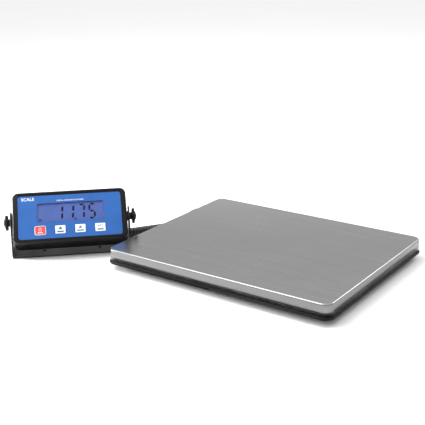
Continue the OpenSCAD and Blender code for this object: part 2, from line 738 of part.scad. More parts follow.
// Battery contacts: a sprung plate at each flat end and a dimpled plate at each nub
module battery_contacts() {
    side = 10;
    color("lightgray") at_head() for (i = [0 : cell_count - 1]) in_bay(i) {
        translate([-side / 2, -side / 2, 0]) cube([side, side, contact_t]);
        translate([0, 0, contact_t - 0.1]) cylinder(r1 = 4.5, r2 = 2.5, h = spring_l - 0.2);
        translate([-side / 2, -side / 2, bay_l - contact_t]) cube([side, side, contact_t]);
        translate([0, 0, bay_l - contact_t - 0.9]) cylinder(r = 2, h = 1);
    }
}

// Round power inlet in the back of the case
module power_inlet() {
    color([0.15, 0.15, 0.15]) at_head() translate([inlet_at[0], inlet_at[1], -head_back]) difference() {
        union() {
            cylinder(r = inlet_r, h = 12);
            translate([-6, -6, case_wall + 0.1]) cube([12, 12, 10]);
        }
        translate([0, 0, -1]) cylinder(r = plug_r, h = plug_l + 1);
    }
}

// Strain relief where the cord leaves the case: tapered nose, neck and inner collar
module head_gland() {
    color([0.08, 0.08, 0.08]) at_head() translate([outlet_at[0], outlet_at[1], -head_back]) {
        translate([0, 0, -outlet_l]) cylinder(r1 = 3, r2 = 5, h = outlet_l - 0.1);
        translate([0, 0, -1]) cylinder(r = outlet_neck, h = case_wall + 2);
        translate([0, 0, case_wall + 0.1]) cylinder(r = 5, h = 2);
    }
}

// ---- Cord ----

// Plain stretch from the indicator's strain relief down to the table
module cord_tail() {
    out = [-sin(stand_turn) * cos(head_tilt), cos(stand_turn) * cos(head_tilt), -sin(head_tilt)];
    color([0.1, 0.1, 0.1]) on_platform()
        tube(tail_route, cord_r, 8, out, unit(curl_route[1] - curl_route[0]));
}

// Outer shape of the curly stretch, lying on the table
module curly_cord() {
    last = len(curl_route) - 1;
    color([0.1, 0.1, 0.1]) on_platform()
        tube(curl_route, curl_r, 12, unit(curl_route[1] - curl_route[0]), unit(curl_route[last] - curl_route[last - 1]));
}

// Plain stretch from the curls up into the platform's gland
module cord_lead() {
    last = len(curl_route) - 1;
    color([0.1, 0.1, 0.1]) on_platform()
        tube(lead_route, cord_r, 8, unit(curl_route[last] - curl_route[last - 1]), [1, 0, 0]);
}

pan();
pan_pads();
deck_plate();
deck_screws();
base_tray();
load_cell_front_left();
load_cell_front_right();
load_cell_back_left();
load_cell_back_right();
foot_posts();
foot_front_left();
foot_front_right();
foot_back_left();
foot_back_right();
junction_board();
junction_screws();
cell_leads();
inner_lead();
base_gland();
bracket();
arm_washers();
knob_left();
knob_right();
stud_left();
stud_right();
front_case();
rear_case();
case_screws();
overlay();
display_lens();
lcd_panel();
lcd_holder();
main_board();
board_screws();
key_switches();
key_power();
key_units();
key_hold();
key_zero();
pivot_inserts();
battery_door();
batteries();
battery_contacts();
power_inlet();
head_gland();
cord_tail();
curly_cord();
cord_lead();
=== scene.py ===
import json
import math

import bmesh
import bpy
from mathutils import Matrix, Vector

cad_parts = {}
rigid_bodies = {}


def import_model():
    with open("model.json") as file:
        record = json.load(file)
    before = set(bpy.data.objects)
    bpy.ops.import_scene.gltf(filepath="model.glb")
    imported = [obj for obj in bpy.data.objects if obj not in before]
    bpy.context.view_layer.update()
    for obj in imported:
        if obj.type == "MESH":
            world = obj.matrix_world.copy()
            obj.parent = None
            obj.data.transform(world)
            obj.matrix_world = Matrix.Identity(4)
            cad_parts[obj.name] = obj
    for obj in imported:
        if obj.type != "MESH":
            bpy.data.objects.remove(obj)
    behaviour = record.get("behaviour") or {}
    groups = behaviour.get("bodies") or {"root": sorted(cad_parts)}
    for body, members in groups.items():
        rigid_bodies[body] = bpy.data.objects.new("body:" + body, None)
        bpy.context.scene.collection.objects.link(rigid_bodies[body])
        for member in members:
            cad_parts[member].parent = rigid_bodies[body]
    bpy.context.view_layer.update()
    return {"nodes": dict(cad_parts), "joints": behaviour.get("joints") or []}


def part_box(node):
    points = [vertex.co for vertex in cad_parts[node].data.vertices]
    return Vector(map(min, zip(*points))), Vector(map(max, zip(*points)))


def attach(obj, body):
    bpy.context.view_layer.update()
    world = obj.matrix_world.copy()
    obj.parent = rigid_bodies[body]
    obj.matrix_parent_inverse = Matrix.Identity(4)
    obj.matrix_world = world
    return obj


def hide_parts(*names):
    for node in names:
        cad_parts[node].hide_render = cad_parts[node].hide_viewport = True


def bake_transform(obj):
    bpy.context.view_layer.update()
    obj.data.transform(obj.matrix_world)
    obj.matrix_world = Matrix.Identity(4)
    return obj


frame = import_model()

# ---- Viewpoint ----
# Stands to the right of the platform's front corner and a little above it, with a long lens.
eye, aim = Vector((0.6963, -0.9634, 0.4669)), Vector((-0.0538, 0.0944, 0.031))
camera = bpy.data.objects.new("camera", bpy.data.cameras.new("camera"))
camera.data.sensor_width, camera.data.lens = 36, 74.33
camera.data.clip_start, camera.data.clip_end = 0.05, 60
looking = (aim - eye).to_track_quat("-Z", "Y").to_matrix().to_4x4()
camera.matrix_world = Matrix.Translation(eye) @ looking @ Matrix.Rotation(math.radians(-0.84), 4, "Z")
bpy.context.scene.collection.objects.link(camera)
bpy.context.scene.camera = camera

# ---- Signal cord ----
# Six-core cord in a satin black jacket: a plain tail down from the indicator, a long stretch wound
# into tight curls that lies on the table, and a plain lead into the platform's side.
MM = Matrix.Scale(0.001, 4)
low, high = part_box("pan")
on_platform = Matrix.Translation(((low.x + high.x) / 2, (low.y + high.y) / 2, 0)) @ MM
joints = {joint["name"]: joint for joint in frame["joints"]}
face_across = Vector(joints["head_tilt"]["axis"])
face_up = Vector(joints["battery_door_slide"]["axis"])
face_out = -Vector(joints["key_power_press"]["axis"])
pivot = Vector(joints["head_tilt"]["pos_m"])
in_face = Matrix.Translation(pivot) @ Matrix((face_across, face_up, face_out)).transposed().to_4x4() @ MM


def shared_group(name, inputs, outputs):
    """An empty node group with its named sockets, as (group, input sockets' node, output sockets' node)."""
    group = bpy.data.node_groups.new(name, "ShaderNodeTree")
    for socket, kind, value in inputs:
        made = group.interface.new_socket(socket, in_out="INPUT", socket_type=kind)
        made.default_value = value
    for socket in outputs:
        group.interface.new_socket(socket, in_out="OUTPUT", socket_type="NodeSocketFloat")
    return group, group.nodes.new("NodeGroupInput"), group.nodes.new("NodeGroupOutput")


def wire(tree, kind, values=(), **settings):
    """One node: its settings, and for each input socket a value or the socket that feeds it."""
    node = tree.nodes.new(kind)
    for key, value in settings.items():
        setattr(node, key, value)
    for socket, value in dict(values).items():
        if isinstance(value, bpy.types.NodeSocket):
            tree.links.new(value, node.inputs[socket])
        else:
            node.inputs[socket].default_value = value
    return node


def sums(tree, operation, *values, clamp=False):
    node = wire(tree, "ShaderNodeMath", enumerate(values), operation=operation, use_clamp=clamp)
    return node.outputs[0]


def blend_colours(tree, share, first, second):
    node = wire(tree, "ShaderNodeMix", {0: share, 6: first, 7: second}, data_type="RGBA")
    return node.outputs[2]


# Fine texture of a moulded, coated or cast skin, with a slow mottle on top of it
skin, skin_in, skin_out = shared_group(
    "fine_skin", [("Size", "NodeSocketFloat", 1500.0)], ["Height", "Mottle"])
where = wire(skin, "ShaderNodeTexCoord").outputs["Object"]
pebble = wire(skin, "ShaderNodeTexNoise", {"Vector": where, "Scale": skin_in.outputs["Size"], "Detail": 3.0})
mottle = wire(skin, "ShaderNodeTexNoise", {"Vector": where, "Scale": 34.0, "Detail": 4.0, "Roughness": 0.62})
skin.links.new(pebble.outputs["Fac"], skin_out.inputs["Height"])
skin.links.new(mottle.outputs["Fac"], skin_out.inputs["Mottle"])

# Edges rubbed by hands and packing, broken up so that no edge is worn all along
wear, wear_in, wear_out = shared_group(
    "edge_wear", [("Reach", "NodeSocketFloat", 0.0006), ("Amount", "NodeSocketFloat", 0.5)], ["Mask"])
rounded = wire(wear, "ShaderNodeBevel", {"Radius": wear_in.outputs["Reach"]}, samples=4)
true_normal = wire(wear, "ShaderNodeNewGeometry").outputs["Normal"]
facing = wire(wear, "ShaderNodeVectorMath", {0: rounded.outputs[0], 1: true_normal}, operation="DOT_PRODUCT")
turned_away = sums(wear, "MULTIPLY", sums(wear, "SUBTRACT", 1.0, facing.outputs["Value"]), 7.0)
spots = wire(wear, "ShaderNodeTexNoise", {"Vector": wire(wear, "ShaderNodeTexCoord").outputs["Object"],
                                         "Scale": 260.0, "Detail": 4.0, "Roughness": 0.7})
broken = sums(wear, "SUBTRACT", sums(wear, "MULTIPLY", spots.outputs["Fac"], 3.0), 1.0, clamp=True)
rubbed = sums(wear, "MULTIPLY", sums(wear, "MULTIPLY", turned_away, broken), wear_in.outputs["Amount"],
              clamp=True)
wear.links.new(rubbed, wear_out.inputs["Mask"])

# Thin dust on whatever faces up
dust, dust_in, dust_out = shared_group("settled_dust", [("Amount", "NodeSocketFloat", 0.2)], ["Mask"])
upward = wire(dust, "ShaderNodeSeparateXYZ", {0: wire(dust, "ShaderNodeNewGeometry").outputs["Normal"]})
film = wire(dust, "ShaderNodeTexNoise", {"Vector": wire(dust, "ShaderNodeTexCoord").outputs["Object"],
                                        "Scale": 75.0, "Detail": 6.0, "Roughness": 0.75})
lying = sums(dust, "MULTIPLY", sums(dust, "POWER", sums(dust, "MAXIMUM", upward.outputs["Z"], 0.0), 3.0),
             film.outputs["Fac"])
dust.links.new(sums(dust, "MULTIPLY", lying, dust_in.outputs["Amount"], clamp=True), dust_out.inputs["Mask"])


def skinned(name, colour, roughness, worn, size=1500.0, depth=0.00003, wear_amount=0.4, dust_amount=0.12,
            corner=0.00025, metallic=0.0, **constants):
    """A moulded, coated or cast finish: colour with mottle, rubbed edges, dust, and a fine skin."""
    made = bpy.data.materials.new(name)
    made.use_nodes = True
    tree = made.node_tree
    shader = tree.nodes["Principled BSDF"]
    grain = wire(tree, "ShaderNodeGroup", node_tree=skin)
    grain.inputs["Size"].default_value = size
    edge = wire(tree, "ShaderNodeGroup", node_tree=wear)
    edge.inputs["Amount"].default_value = wear_amount
    top = wire(tree, "ShaderNodeGroup", node_tree=dust)
    top.inputs["Amount"].default_value = dust_amount
    light = [min(1, c * 1.28 + 0.002) for c in colour] + [1]
    deep = [c * 0.8 for c in colour] + [1]
    mixed = blend_colours(tree, grain.outputs["Mottle"], deep, light)
    mixed = blend_colours(tree, edge.outputs["Mask"], mixed, [*worn, 1])
    mixed = blend_colours(tree, top.outputs["Mask"], mixed, [0.42, 0.41, 0.4, 1])
    tree.links.new(mixed, shader.inputs["Base Color"])
    rough = sums(tree, "MULTIPLY_ADD", grain.outputs["Mottle"], 0.16, roughness - 0.08)
    rough = sums(tree, "ADD", rough, sums(tree, "MULTIPLY", top.outputs["Mask"], 0.5), clamp=True)
    tree.links.new(rough, shader.inputs["Roughness"])
    soft_edge = wire(tree, "ShaderNodeBevel", {"Radius": corner}, samples=4)
    bump = wire(tree, "ShaderNodeBump", {"Height": grain.outputs["Height"], "Distance": depth,
                                         "Normal": soft_edge.outputs[0]})
    tree.links.new(bump.outputs[0], shader.inputs["Normal"])
    shader.inputs["Metallic"].default_value = metallic
    for socket, value in constants.items():
        shader.inputs[socket.replace("_", " ")].default_value = value
    return made


cord_jacket = skinned("cord_jacket", (0.012, 0.012, 0.013), 0.42, (0.03, 0.03, 0.03), size=2600.0,
                      depth=0.00001, wear_amount=0.1)
tail_route = [(-330, -138, 17.5), (-332.5, -132, 12.5), (-333, -124, 8), (-331, -114.5, 4.8),
              (-325.5, -106, 2.9), (-320, -99, 2.3)]
curl_route = [(-314, -93.3), (-294, -76), (-274, -59), (-254, -42), (-242, -32), (-232, -22), (-226, -13),
              (-220, -4), (-212, 8), (-204, 20), (-198, 33), (-195, 46), (-194, 60)]
lead_route = [(-194, 67, 2.3), (-197, 74.5, 2.3), (-202.5, 82, 2.6), (-208.5, 90, 3.8), (-211, 98, 6),
              (-209.5, 106, 9), (-204, 112, 12), (-197, 114.8, 13.9), (-191, 115, 14.5), (-186.5, 115, 14.5)]
wire_radius, curl_radius, curl_height, turns, points_a_turn, ease_in = 2.25, 5.2, 7.55, 44, 16, 7


def smooth_route(points, step):
    """The points of a smooth curve through a route, about one step apart."""
    ends = [2 * points[0] - points[1], *points, 2 * points[-1] - points[-2]]
    line = []
    for a, b, c, d in zip(ends, ends[1:], ends[2:], ends[3:]):
        count = max(1, round((c - b).length / step))
        for i in range(count):
            t = i / count
            line.append(0.5 * (2 * b + (c - a) * t + (2 * a - 5 * b + 4 * c - d) * t * t
                               + (3 * b - a - 3 * c + d) * t ** 3))
    return [*line, points[-1]]


outlet_tip = on_platform.inverted() @ in_face @ Vector((-62, -8, -29))
axis_line = smooth_route([Vector((x, y, curl_height)) for x, y in curl_route], 0.5)
reach = [0.0]
for a, b in zip(axis_line, axis_line[1:]):
    reach.append(reach[-1] + (b - a).length)
steps, steepest = turns * points_a_turn, math.atan2(2 * math.pi * curl_radius, reach[-1] / turns)
curls, gone, wound = [], [0.0], [0.0]
for k in range(steps):
    slant = steepest * min(1, (k + 0.5) / ease_in, (steps - k - 0.5) / ease_in)
    gone.append(gone[-1] + math.cos(slant))
    wound.append(wound[-1] + math.sin(slant))
for k in range(steps + 1):
    along = gone[k] / gone[-1] * reach[-1]
    i = min(next(n for n, r in enumerate(reach) if r >= along), len(reach) - 2)
    heading = (axis_line[min(i + 3, len(reach) - 1)] - axis_line[max(i - 3, 0)]).normalized()
    centre = axis_line[i] + heading * (along - reach[i])
    side = Vector((heading.y, -heading.x, 0))
    angle = 2 * math.pi * turns * wound[k] / wound[-1]
    curls.append(centre + curl_radius * (math.sin(angle) * side - math.cos(angle) * Vector((0, 0, 1))))
tail = smooth_route([outlet_tip, *map(Vector, tail_route), curls[0]], 1.5)
lead = smooth_route([curls[-1], *map(Vector, lead_route)], 1.5)
cord_line = [on_platform @ p for p in [*tail[:-1], *curls, *lead[1:]]]
drawn = bpy.data.curves.new("cord_line", "CURVE")
drawn.dimensions, drawn.bevel_depth, drawn.bevel_resolution = "3D", wire_radius / 1000, 2
drawn.use_fill_caps = True
spline = drawn.splines.new("POLY")
spline.points.add(len(cord_line) - 1)
for point, place in zip(spline.points, cord_line):
    point.co = (*place, 1)
curve = bpy.data.objects.new("cord_line", drawn)
bpy.context.scene.collection.objects.link(curve)
bpy.context.view_layer.update()
cord = bpy.data.objects.new("signal_cord", bpy.data.meshes.new_from_object(
    curve.evaluated_get(bpy.context.evaluated_depsgraph_get())))
bpy.data.objects.remove(curve)
bpy.context.scene.collection.objects.link(cord)
cord.data.polygons.foreach_set("use_smooth", [True] * len(cord.data.polygons))
cord.data.materials.clear()
cord.data.materials.append(cord_jacket)
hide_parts("cord_tail", "curly_cord", "cord_lead")
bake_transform(cord)

# ---- Table and studio light ----
# A pale matt table top, a large soft light overhead, a weaker one behind, a small brighter one low at the
# left, and a bright room.
floor = bpy.data.objects.new("table_top", bpy.data.meshes.new("table_top"))
bm = bmesh.new()
bmesh.ops.create_grid(bm, x_segments=8, y_segments=8, size=14)
bm.to_mesh(floor.data)
bm.free()
bpy.context.scene.collection.objects.link(floor)
pale = bpy.data.materials.new("pale_table")
pale.use_nodes = True
pale_shader = pale.node_tree.nodes["Principled BSDF"]
cloud = wire(pale.node_tree, "ShaderNodeTexNoise", {
    "Vector": wire(pale.node_tree, "ShaderNodeTexCoord").outputs["Object"], "Scale": 3.0, "Detail": 3.0})
pale.node_tree.links.new(blend_colours(pale.node_tree, cloud.outputs["Fac"], [0.92, 0.92, 0.925, 1],
                                       [0.95, 0.95, 0.95, 1]), pale_shader.inputs["Base Color"])
pale_shader.inputs["Roughness"].default_value = 0.75
floor.data.materials.append(pale)

for name, place, size, watts in (("overhead", (-0.6, -0.5, 1.45), 1.3, 20),
                                 ("behind", (0.65, 1.6, 1.15), 0.8, 8),
                                 ("left", (-1.3, -0.68, 0.42), 0.4, 30)):
    lamp = bpy.data.lights.new(name, "AREA")
    lamp.shape, lamp.size, lamp.energy = "DISK", size, watts
    shade = bpy.data.objects.new(name, lamp)
    shade.location = place
    shade.rotation_euler = (Vector((-0.05, 0, 0.03)) - Vector(place)).to_track_quat("-Z", "Y").to_euler()
    bpy.context.scene.collection.objects.link(shade)

room = bpy.data.worlds.new("bright_room")
bpy.context.scene.world = room
room.use_nodes = True
tree = room.node_tree
height = wire(tree, "ShaderNodeSeparateXYZ", {0: wire(tree, "ShaderNodeTexCoord").outputs["Generated"]})
ramp = wire(tree, "ShaderNodeValToRGB", {"Fac": height.outputs["Z"]})
for place, grey in ((0.12, 1.0), (0.24, 0.62), (0.5, 0.7)):
    ramp.color_ramp.elements.new(place).color = (grey, grey, grey * 1.01, 1)
ramp.color_ramp.elements[0].color = (1.05, 1.05, 1.05, 1)
ramp.color_ramp.elements[-1].color = (1.4, 1.4, 1.4, 1)
tree.links.new(ramp.outputs["Color"], tree.nodes["Background"].inputs["Color"])
tree.nodes["Background"].inputs["Strength"].default_value = 0.97
bpy.context.scene.view_settings.view_transform = "Standard"

# ---- Rubber feet ----
# Four moulded rubber feet, a little wider at the top, with a shallow ring in the sole. Each is
# pressed on a black nylon post that goes up through the tray to its load cell.


def spun(profile, steps=48):
    """A closed turned shape from its half section of (radius, height) points, in millimetres."""
    bm = bmesh.new()
    line = [bm.verts.new((r, 0, z)) for r, z in profile]
    edges = [bm.edges.new(pair) for pair in zip(line, line[1:])]
    bmesh.ops.spin(bm, geom=[*line, *edges], axis=(0, 0, 1), cent=(0, 0, 0), steps=steps, angle=2 * math.pi,
                   use_merge=True)
    bmesh.ops.remove_doubles(bm, verts=bm.verts[:], dist=0.0005)
    bmesh.ops.recalc_face_normals(bm, faces=bm.faces[:])
    return bm


def make_piece(name, bm, place, finish, body, stands_for=(), sharp=35):
    """Turns a shape drawn in millimetres into a finished piece of the scale, set in its place."""
    bmesh.ops.transform(bm, matrix=place, verts=bm.verts[:])
    mesh = bpy.data.meshes.new(name)
    bm.to_mesh(mesh)
    bm.free()
    made = bpy.data.objects.new(name, mesh)
    bpy.context.scene.collection.objects.link(made)
    mesh.polygons.foreach_set("use_smooth", [True] * len(mesh.polygons))
    mesh.set_sharp_from_angle(angle=math.radians(sharp))
    mesh.materials.append(finish)
    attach(made, body)
    if stands_for:
        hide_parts(*stands_for)
    return made


def refinish(nodes, finish):
    """Gives CAD nodes that stay a better material."""
    for node in nodes:
        mesh = frame["nodes"][node].data
        mesh.materials.clear()
        mesh.materials.append(finish)


soft_rubber = skinned("soft_rubber", (0.02, 0.02, 0.02), 0.75, (0.05, 0.05, 0.05), size=1100.0, depth=0.00006,
                      dust_amount=0.3)
moulded_black = skinned("moulded_black", (0.006, 0.006, 0.0065), 0.44, (0.05, 0.05, 0.05), size=1900.0,
                        depth=0.00003, wear_amount=0.3, dust_amount=0.02, Specular_IOR_Level=0.1)
for foot in ("foot_front_left", "foot_front_right", "foot_back_left", "foot_back_right"):
    low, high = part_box(foot)
    sole = spun([(0, 0.7), (5.6, 0.7), (6.1, 0), (10.7, 0), (11.2, 0.5), (11.9, 3.6), (11.5, 4), (0, 4)])
    make_piece(foot.replace("foot", "rubber_foot"), sole,
               Matrix.Translation(((low.x + high.x) / 2, (low.y + high.y) / 2, 0)) @ MM,
               soft_rubber, "base", [foot])
refinish(["foot_posts"], moulded_black)

# ---- Base tray ----
# Black moulded tray with a round bead that stands just under the pan's skirt, a small moulded mark
# in the middle of the front, and posts inside for the deck's screws and the junction board.


def dressed_copy(node, name, finish, body, round_off=0.0):
    """A merged, smooth copy of a CAD node that takes its place, with its corners rounded off a little."""
    bm = bmesh.new()
    bm.from_mesh(frame["nodes"][node].data)
    bmesh.ops.remove_doubles(bm, verts=bm.verts[:], dist=0.000002)
    bmesh.ops.dissolve_limit(bm, angle_limit=math.radians(0.5), verts=bm.verts[:], edges=bm.edges[:])
    made = make_piece(name, bm, Matrix.Identity(4), finish, body, [node])
    if round_off:
        bevel = made.modifiers.new("rounded_corners", "BEVEL")
        bevel.width, bevel.segments, bevel.limit_method = round_off / 1000, 2, "ANGLE"
        bevel.angle_limit, bevel.use_clamp_overlap, bevel.harden_normals = math.radians(50), False, False
    return made


dressed_copy("base_tray", "moulded_tray", moulded_black, "base")

# ---- Cable boots ----
# Soft black strain reliefs with moulded rings, one where the cord leaves the indicator's back and
# one where it enters the platform's side. Each is pulled into its hole and held by an inner collar.
gland_nylon = skinned("gland_nylon", (0.014, 0.014, 0.015), 0.5, (0.05, 0.05, 0.05), size=2200.0,
                      depth=0.00002)


def ringed_boot(length, wide, narrow, rings, neck, collar, collar_at, inner_end):
    """Outer boot from its wide foot at height 0 to its tip, neck and collar behind."""
    profile = [(0, inner_end), (neck, inner_end), (neck, collar_at - 2), (collar, collar_at - 2),
               (collar, collar_at), (neck, collar_at), (neck, 0), (wide, 0)]
    pitch = (length - 1.5) / rings
    for i in range(rings):
        z = 0.6 + i * pitch
        r = wide + (narrow - wide) * z / length
        profile += [(r, z), (r, z + pitch * 0.5), (r - 0.55, z + pitch * 0.62), (r - 0.55, z + pitch * 0.9)]
    profile += [(narrow + 0.1, length - 0.8), (narrow - 0.25, length - 0.1), (2.3, length), (0, length)]
    return spun(profile, 40)


face_down = in_face @ Matrix.Translation((-62, -8, -15)) @ Matrix.Rotation(math.pi, 4, "X")
make_piece("indicator_boot", ringed_boot(14, 5, 3, 4, 3, 5, -2.6, -4.6), face_down, gland_nylon, "head",
           ["head_gland"])
side_in = on_platform @ Matrix.Translation((-176.6, 115, 14.5)) @ Matrix.Rotation(-math.pi / 2, 4, "Y")
make_piece("platform_boot", ringed_boot(9.9, 4.2, 3, 3, 3, 3.9, -6.4, -8.5), side_in, gland_nylon, "base",
           ["base_gland"])

# ---- Load cells, junction board and their leads ----
# Stamped steel corner cells under the deck plate, each standing on a foot's post. Their red leads
# meet on a small green board that is screwed down inside the tray.
bright_steel = skinned("bright_steel", (0.55, 0.55, 0.56), 0.3, (0.8, 0.8, 0.8), size=900.0, depth=0.00001,
                       metallic=1.0, dust_amount=0.05)
solder_mask = skinned("solder_mask", (0.02, 0.13, 0.05), 0.35, (0.3, 0.3, 0.1), size=700.0, depth=0.00002,
                      dust_amount=0.05)
red_sleeve = skinned("red_sleeve", (0.42, 0.03, 0.025), 0.5, (0.5, 0.1, 0.1), size=1500.0)
refinish(["load_cell_front_left", "load_cell_front_right", "load_cell_back_left", "load_cell_back_right"],
         bright_steel)
refinish(["junction_board"], solder_mask)
refinish(["cell_leads"], red_sleeve)
refinish(["inner_lead"], cord_jacket)

# ---- Deck plate, its screws and buttons ----
# Zinc-plated pressed plate that spreads the load on the four cells. Six cross-head screws hold the
# tray up to it, and four rubber buttons carry the pan.

# Straight marks of a brush or a rolling mill, as height and as streaks of tone
brushing, brush_in, brush_out = shared_group(
    "brush_marks", [("Along", "NodeSocketFloat", 4.0), ("Across", "NodeSocketFloat", 1500.0)],
    ["Height", "Streak"])
coords = wire(brushing, "ShaderNodeTexCoord").outputs["Object"]
lengthwise = wire(brushing, "ShaderNodeCombineXYZ", {
    0: brush_in.outputs["Along"], 1: brush_in.outputs["Across"], 2: brush_in.outputs["Across"]})
crosswise = wire(brushing, "ShaderNodeCombineXYZ", {
    0: brush_in.outputs["Across"], 1: brush_in.outputs["Along"], 2: brush_in.outputs["Across"]})
looks_sideways = wire(brushing, "ShaderNodeSeparateXYZ", {
    0: wire(brushing, "ShaderNodeNewGeometry").outputs["Normal"]})
on_end = sums(brushing, "GREATER_THAN", sums(brushing, "ABSOLUTE", looks_sideways.outputs["X"]), 0.75)
stretch = wire(brushing, "ShaderNodeMix", {0: on_end, 4: lengthwise.outputs[0], 5: crosswise.outputs[0]},
               data_type="VECTOR")
stretched = wire(brushing, "ShaderNodeVectorMath", {0: coords, 1: stretch.outputs[1]}, operation="MULTIPLY")
fine = wire(brushing, "ShaderNodeTexNoise", {"Vector": stretched.outputs[0], "Scale": 1.0, "Detail": 3.0})
wide_marks = wire(brushing, "ShaderNodeVectorMath", {0: stretched.outputs[0], 1: (0.8, 0.16, 0.16)},
                  operation="MULTIPLY")
broad = wire(brushing, "ShaderNodeTexNoise", {"Vector": wide_marks.outputs[0], "Scale": 1.0, "Detail": 5.0,
                                              "Roughness": 0.7})
brushing.links.new(fine.outputs["Fac"], brush_out.inputs["Height"])
brushing.links.new(sums(brushing, "ADD", sums(brushing, "MULTIPLY", fine.outputs["Fac"], 0.45),
                        sums(brushing, "MULTIPLY", broad.outputs["Fac"], 0.55)), brush_out.inputs["Streak"])


def brushed(name, dark, light, rough_low, rough_high, along, across, depth, smear, side=1.0):
    """A brushed or rolled metal: streaks of tone and gloss along one way, a few hand smears, and painted
    shade that darkens upright faces unless side is 1.
    """
    made = bpy.data.materials.new(name)
    made.use_nodes = True
    tree = made.node_tree
    shader = tree.nodes["Principled BSDF"]
    marks = wire(tree, "ShaderNodeGroup", node_tree=brushing)
    marks.inputs["Along"].default_value, marks.inputs["Across"].default_value = along, across
    smears = wire(tree, "ShaderNodeGroup", node_tree=skin)
    smears.inputs["Size"].default_value = 12.0
    edge = wire(tree, "ShaderNodeGroup", node_tree=wear)
    edge.inputs["Amount"].default_value = 0.25
    tone = blend_colours(tree, marks.outputs["Streak"], [*dark, 1], [*light, 1])
    tone = blend_colours(tree, sums(tree, "MULTIPLY", smears.outputs["Mottle"], smear), tone,
                         [c * 0.75 for c in dark] + [1])
    # Painted shade: upright faces are mixed toward near black by up to 1 - side, as if they stood in shade.
    tilt = wire(tree, "ShaderNodeSeparateXYZ", {0: wire(tree, "ShaderNodeNewGeometry").outputs["Normal"]})
    side_shade_mask = sums(tree, "SUBTRACT", 1.0, sums(tree, "ABSOLUTE", tilt.outputs["Z"]), clamp=True)
    tone = blend_colours(tree, sums(tree, "MULTIPLY", sums(tree, "POWER", side_shade_mask, 0.6), 1 - side), tone,
                         [0.02, 0.02, 0.02, 1])
    tone = blend_colours(tree, edge.outputs["Mask"], tone, [min(1, c * 1.25) for c in light] + [1])
    tree.links.new(tone, shader.inputs["Base Color"])
    rough = sums(tree, "MULTIPLY_ADD", marks.outputs["Streak"], rough_high - rough_low, rough_low)
    rough = sums(tree, "ADD", rough, sums(tree, "MULTIPLY", smears.outputs["Height"], smear * 0.6))
    tree.links.new(rough, shader.inputs["Roughness"])
    soft_edge = wire(tree, "ShaderNodeBevel", {"Radius": 0.0002}, samples=4)
    bump = wire(tree, "ShaderNodeBump", {"Height": marks.outputs["Height"], "Distance": depth,
                                         "Normal": soft_edge.outputs[0]})
    tree.links.new(bump.outputs[0], shader.inputs["Normal"])
    shader.inputs["Metallic"].default_value = 1.0
    return made


zinc_plate = brushed("zinc_plate", (0.4, 0.41, 0.43), (0.6, 0.61, 0.63), 0.32, 0.5, 12.0, 500.0,
                     0.000004, 0.3)
refinish(["deck_plate"], zinc_plate)


def cross_head_screw(head_r, head_h, shank_r, shank_l):
    """A pan-head screw, head's underside at height 0, with a cross recess and a chamfered tip."""
    bm = spun([(0, head_h), (head_r * 0.55, head_h * 0.98), (head_r * 0.86, head_h * 0.78),
               (head_r, head_h * 0.4), (head_r, 0), (shank_r, 0), (shank_r, -shank_l + 0.5),
               (shank_r * 0.6, -shank_l), (0, -shank_l)], 16)
    crown = [f for f in bm.faces if len(f.verts) == 3 and f.calc_center_median().z > head_h * 0.9]
    arms = [f for f in crown
            if round(math.degrees(math.atan2(*f.calc_center_median().yx)) / 22.5 + 16.5) % 4 < 2]
    sunk = bmesh.ops.extrude_face_region(bm, geom=arms)["geom"]
    bmesh.ops.translate(bm, vec=(0, 0, -head_h * 0.55),
                        verts=[v for v in sunk if isinstance(v, bmesh.types.BMVert)])
    bmesh.ops.delete(bm, geom=arms, context="FACES")
    bmesh.ops.recalc_face_normals(bm, faces=bm.faces[:])
    return bm


def set_out(shape, places):
    """One mesh with a copy of the shape at each place."""
    whole = bmesh.new()
    single = bpy.data.meshes.new("single")
    shape.to_mesh(single)
    shape.free()
    for place in places:
        before = len(whole.verts)
        whole.from_mesh(single)
        whole.verts.ensure_lookup_table()
        bmesh.ops.transform(whole, matrix=place, verts=whole.verts[before:])
    bpy.data.meshes.remove(single)
    return whole


deck_top = (on_platform.inverted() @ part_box("deck_plate")[1]).z
screw_places = [(s * x, y) for s in (-1, 1) for x, y in ((150.5, 0), (59.5, -77), (59.5, 77))]
make_piece("deck_plate_screws", set_out(cross_head_screw(3.2, 1.8, 1.4, 12), [
    Matrix.Translation((x, y, deck_top)) for x, y in screw_places]), on_platform, bright_steel, "base",
    ["deck_screws"])
make_piece("pan_buttons", set_out(
    spun([(0, 0), (7, 0), (7, 1.9), (6.7, 2.5), (6.1, 2.8), (2.6, 2.8), (2.3, 2.5), (0, 2.5)], 32),
    [Matrix.Translation((s * 151, t * 116, deck_top)) for s in (-1, 1) for t in (-1, 1)]), on_platform,
    soft_rubber, "base", ["pan_pads"])
make_piece("junction_board_screws", set_out(cross_head_screw(2, 1.2, 0.95, 5), [
    Matrix.Translation((-70 + s * 17, 10, 14.6)) for s in (-1, 1)]), on_platform, bright_steel, "base",
    ["junction_screws"])

# ---- Weighing pan ----
# Stainless sheet drawn into a shallow tray shape, top brushed along its width, skirt turned down
# with a small radius and notched over the cord's boot. It drops over the deck and lifts straight off.


def rounded_plate(width, depth, radius, bottom, top, steps=8):
    """A flat plate with rounded corners between two heights, in millimetres."""
    bm = bmesh.new()
    bmesh.ops.create_grid(bm, x_segments=1, y_segments=1, size=0.5)
    bmesh.ops.scale(bm, vec=(width, depth, 1), verts=bm.verts[:])
    bmesh.ops.bevel(bm, geom=bm.verts[:], offset=radius, offset_type="OFFSET", segments=steps, profile=0.5,
                    affect="VERTICES", material=-1)
    bmesh.ops.translate(bm, vec=(0, 0, bottom), verts=bm.verts[:])
    up = bmesh.ops.extrude_face_region(bm, geom=bm.faces[:])["geom"]
    bmesh.ops.translate(bm, vec=(0, 0, top - bottom),
                        verts=[v for v in up if isinstance(v, bmesh.types.BMVert)])
    bmesh.ops.recalc_face_normals(bm, faces=bm.faces[:])
    return bm


